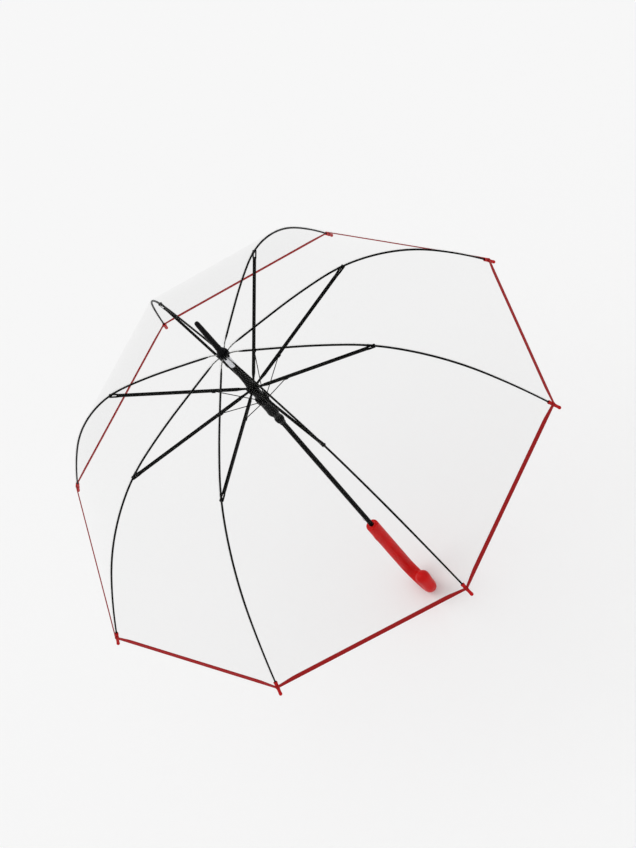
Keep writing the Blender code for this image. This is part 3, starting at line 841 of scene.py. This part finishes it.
def coil_line(radius, low, high, turns, per_turn=24):
    """Points along a coil about Z."""
    count = turns * per_turn
    line = []
    for i in range(count + 1):
        a = 2 * math.pi * i / per_turn
        line.append(Vector((radius * math.cos(a), radius * math.sin(a), low + (high - low) * i / count)))
    return line


def make_springs():
    low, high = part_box("opening_spring")
    wire = 0.45 * MM
    mesh = tube("spring", coil_line(5.4 * MM, low.z + wire, high.z - wire, 8), wire, 8)
    spring = one("opening_coil", mesh, STEEL, "spring_steel", "lower_runner", "opening_spring")
    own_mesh(spring)
    low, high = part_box("button_spring")
    wire, length = 0.25 * MM, high.x - low.x
    mesh = tube("spring", coil_line(1.8 * MM, wire, length - wire, 2), wire, 8)
    middle = (low.z + high.z) / 2
    mesh = moved(mesh, Matrix.Translation((high.x, 0, middle)) @ Matrix.Rotation(-math.pi / 2, 4, "Y"))
    spring = one("button_coil", mesh, STEEL, "spring_steel", "stick", "button_spring")
    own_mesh(spring)


# ------------------------------------------------------------------ handle and button


def make_handle():
    """Crook handle swept round its bend, with a rolled lip at the top and a domed end."""
    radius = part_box("handle")[1].x
    bend_z = rel(-672)  # where the straight part ends
    line, factors = [], []
    lip = ((0, 0.64), (0.35, 0.78), (1.0, 0.90), (2.0, 0.97), (3.4, 1.0), (5.0, 1.0))
    lip += ((6.2, 0.985), (7.4, 1.0))
    for down, factor in lip:
        line.append(Vector((0, 0, HANDLE_TOP_Z - down * MM)))
        factors.append(factor)
    for z in spaced(HANDLE_TOP_Z - 14 * MM, bend_z, 16):
        line.append(Vector((0, 0, z)))
        factors.append(1.0)
    for i in range(1, 37):
        a = math.pi * i / 36
        line.append(Vector((0, -CROOK_RADIUS * (1 - math.cos(a)), bend_z - CROOK_RADIUS * math.sin(a))))
        factors.append(1.0)
    for share, factor in ((0.15, 1.01), (0.3, 1.04), (0.45, 1.08), (0.6, 1.11), (0.75, CROOK_SWELL)):
        line.append(Vector((0, -2 * CROOK_RADIUS, bend_z + CROOK_RISE * share)))
        factors.append(factor)
    end = line[-1]
    for i in range(1, 9):
        a = math.radians(10.5 * i)
        line.append(end + Vector((0, 0, radius * CROOK_SWELL * math.sin(a))))
        factors.append(CROOK_SWELL * math.cos(a))
    body = tube("handle", line, radius, 48, factors, rounded=False, smooth_angle=60)
    button_low, button_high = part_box("release_button")
    gap = 0.35 * MM
    pocket = box_mesh(
        "pocket",
        (-14 * MM, button_low.y - gap, button_low.z - gap),
        (-6 * MM, button_high.y + gap, button_high.z + gap),
    )
    bore_top, bore_end = HANDLE_TOP_Z + 5 * MM, HANDLE_TOP_Z - 84.3 * MM
    bore_profile = [(0, bore_top), (SHAFT_BORE, bore_top), (SHAFT_BORE, bore_end), (0, bore_end)]
    bore = lathe("bore", bore_profile, 48, closed=False)
    one("crook", with_cuts(body, [bore, pocket], 0.0, 50), RED, "red_handle", "stick", "handle")


def make_button():
    """Rounded push button with three raised ribs across it."""
    low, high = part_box("release_button")
    half_y, half_z = (high.y - low.y) / 2, (high.z - low.z) / 2
    middle = (low.z + high.z) / 2
    rows = []
    for depth, inset in ((0.0, 0.0), (2.2, 0.0), (2.7, 0.15), (2.95, 0.5), (3.0, 1.0)):
        row = []
        for i in range(48):
            a = 2 * math.pi * i / 48
            c, s = math.cos(a), math.sin(a)
            round_off = (abs(c) ** 4 + abs(s) ** 4) ** -0.25
            y = (half_y - inset * MM) * c * round_off
            z = (half_z - inset * MM) * s * round_off
            row.append(Vector((high.x - depth * MM, y, middle + z)))
        rows.append(row)
    shape = bmesh.new()
    shape.from_mesh(grid_mesh("pad", rows, wrap=True))
    bmesh.ops.holes_fill(shape, edges=shape.edges, sides=0)
    bmesh.ops.recalc_face_normals(shape, faces=shape.faces)
    pad = mesh_of("pad", shape, 50)
    bars = []
    for up in (-3, 0, 3):
        ends = [(low.x + 0.05 * MM, y * MM, middle + up * MM) for y in (-2.4, 2.4)]
        bars.append(tube("bar", ends, 0.35 * MM, 10))
    button = joined("push_button", [pad, *bars], 50)
    one("push_button", button, RED, "red_handle", "release_button", "release_button")


# ------------------------------------------------------------------ floor, lights and camera


def make_floor():
    mesh = bpy.data.meshes.new("floor")
    half = 40.0
    corners = [(x * half, y * half, FLOOR_Z) for x, y in ((-1, -1), (1, -1), (1, 1), (-1, 1))]
    mesh.from_pydata(corners, [], [(0, 1, 2, 3)])
    floor = bpy.data.objects.new("floor", mesh)
    bpy.context.scene.collection.objects.link(floor)
    paper = bpy.data.materials.new("paper")
    paper.use_nodes = True
    shader = paper.node_tree.nodes["Principled BSDF"]
    shader.inputs["Base Color"].default_value = (0.90, 0.90, 0.90, 1)
    shader.inputs["Roughness"].default_value = 0.95
    shader.inputs["Specular IOR Level"].default_value = 0.0
    mesh.materials.append(paper)


def make_lights():
    world = bpy.data.worlds.new("studio")
    world.use_nodes = True
    world.node_tree.nodes["Background"].inputs["Color"].default_value = (1.0, 1.0, 1.0, 1)
    world.node_tree.nodes["Background"].inputs["Strength"].default_value = 0.81
    bpy.context.scene.world = world
    bpy.context.scene.view_settings.view_transform = "Standard"
    key = bpy.data.lights.new("key", "SUN")
    key.energy, key.angle = 0.88, math.radians(50)
    lamp = bpy.data.objects.new("key", key)
    lamp.rotation_euler = (math.radians(-28), math.radians(-24), 0)
    bpy.context.scene.collection.objects.link(lamp)


def make_camera():
    """A long lens, seen from above and one side, and rolled so that the ferrule points to the upper left."""
    azimuth, elevation, roll = math.radians(-6.81), math.radians(48.06), math.radians(-40.36)
    aim, distance = Vector((0.0399, -0.0048, 0.3347)), 3.723
    level_share = math.cos(elevation)
    back = Vector((math.sin(azimuth) * level_share, -math.cos(azimuth) * level_share, math.sin(elevation)))
    data = bpy.data.cameras.new("camera")
    data.lens = 100.25
    data.sensor_width = 36
    camera = bpy.data.objects.new("camera", data)
    bpy.context.scene.collection.objects.link(camera)
    level = (-back).to_track_quat("-Z", "Y").to_matrix().to_4x4()
    camera.matrix_world = Matrix.Translation(aim + back * distance) @ level @ Matrix.Rotation(roll, 4, "Z")
    bpy.context.scene.camera = camera


make_camera()
make_floor()
make_lights()
make_film()
make_ribs()
make_tips()
make_linkage()
make_crown()
make_washer()
make_ferrule()
make_collar()
make_shaft()
make_runner()
make_lower_runner()
make_springs()
make_handle()
make_button()
